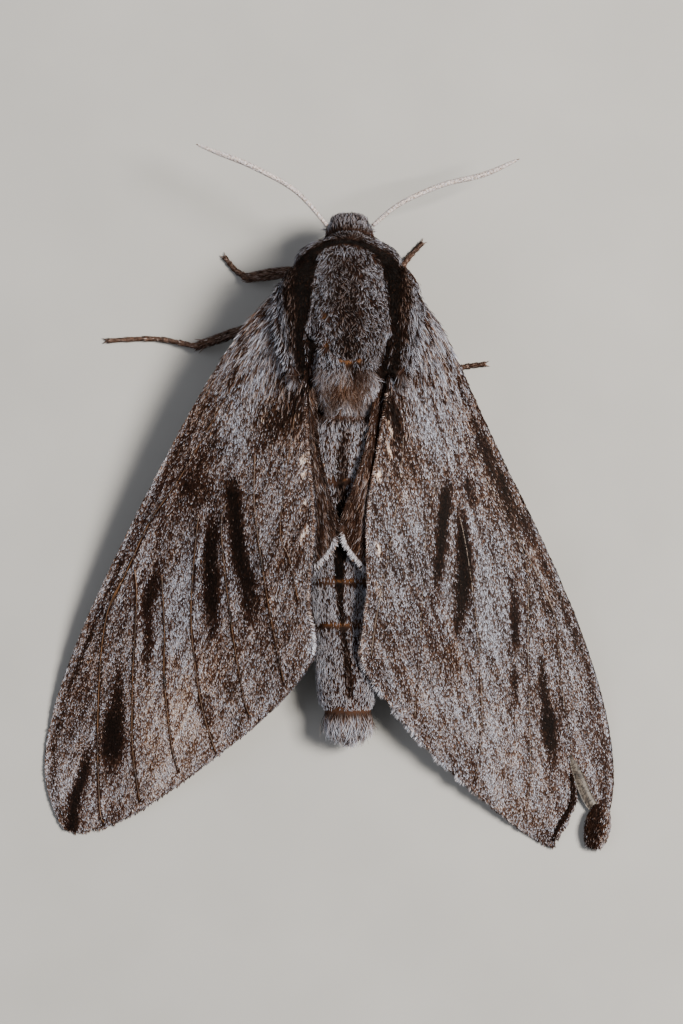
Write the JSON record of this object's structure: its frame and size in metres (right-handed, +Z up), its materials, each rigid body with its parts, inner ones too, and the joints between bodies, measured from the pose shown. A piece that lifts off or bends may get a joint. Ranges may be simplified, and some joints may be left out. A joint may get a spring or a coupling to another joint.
{
  "type": "hawk moth",
  "caption": "Life-size still model of a grey streaked hawk moth at rest, wings laid back as a low tent over a furry body.",
  "frame": {"origin": "on the floor, under the middle of the moth's bounding box", "axes": "+Y along the body towards the head, +Z up, +X towards the moth's right"},
  "size_m": [0.0504, 0.0618, 0.0122],
  "materials": {
    "body_fur": "grey-brown hair-like scales with pale tips and dark bases, matt",
    "dark_fur": "black-brown hair-like scales edged with grey, matt",
    "forewing_scales": "overlapping flat scales, dark brown, blue-grey and tan, with near-black streaks, matt",
    "hindwing_scales": "dark brown scales with a white fringe, matt",
    "antenna": "pinkish-white scaled upper side, brown toothed underside",
    "eye": "dark brown, smooth and glossy",
    "leg": "brown, partly covered with grey scales",
    "proboscis": "amber-brown, slightly glossy"
  },
  "bodies": {
    "root": {"thorax": "body_fur", "abdomen": "body_fur", "collar": "dark_fur", "head": "body_fur", "proboscis": "proboscis", "eye_left": "eye", "palp_left": "body_fur", "antenna_left": "antenna", "forewing_left": "forewing_scales", "hindwing_left": "hindwing_scales", "tegula_left": "dark_fur", "eye_right": "eye", "palp_right": "body_fur", "antenna_right": "antenna", "forewing_right": "forewing_scales", "hindwing_right": "hindwing_scales", "tegula_right": "dark_fur", "leg_front_left_femur": "leg", "leg_front_left_tibia": "leg", "leg_front_left_tarsus": "leg", "leg_front_right_femur": "leg", "leg_front_right_tibia": "leg", "leg_front_right_tarsus": "leg", "leg_middle_left_femur": "leg", "leg_middle_left_tibia": "leg", "leg_middle_left_tarsus": "leg", "leg_middle_right_femur": "leg", "leg_middle_right_tibia": "leg", "leg_middle_right_tarsus": "leg", "leg_hind_left_femur": "leg", "leg_hind_left_tibia": "leg", "leg_hind_left_tarsus": "leg", "leg_hind_right_femur": "leg", "leg_hind_right_tibia": "leg", "leg_hind_right_tarsus": "leg"}
  },
  "joints": []
}
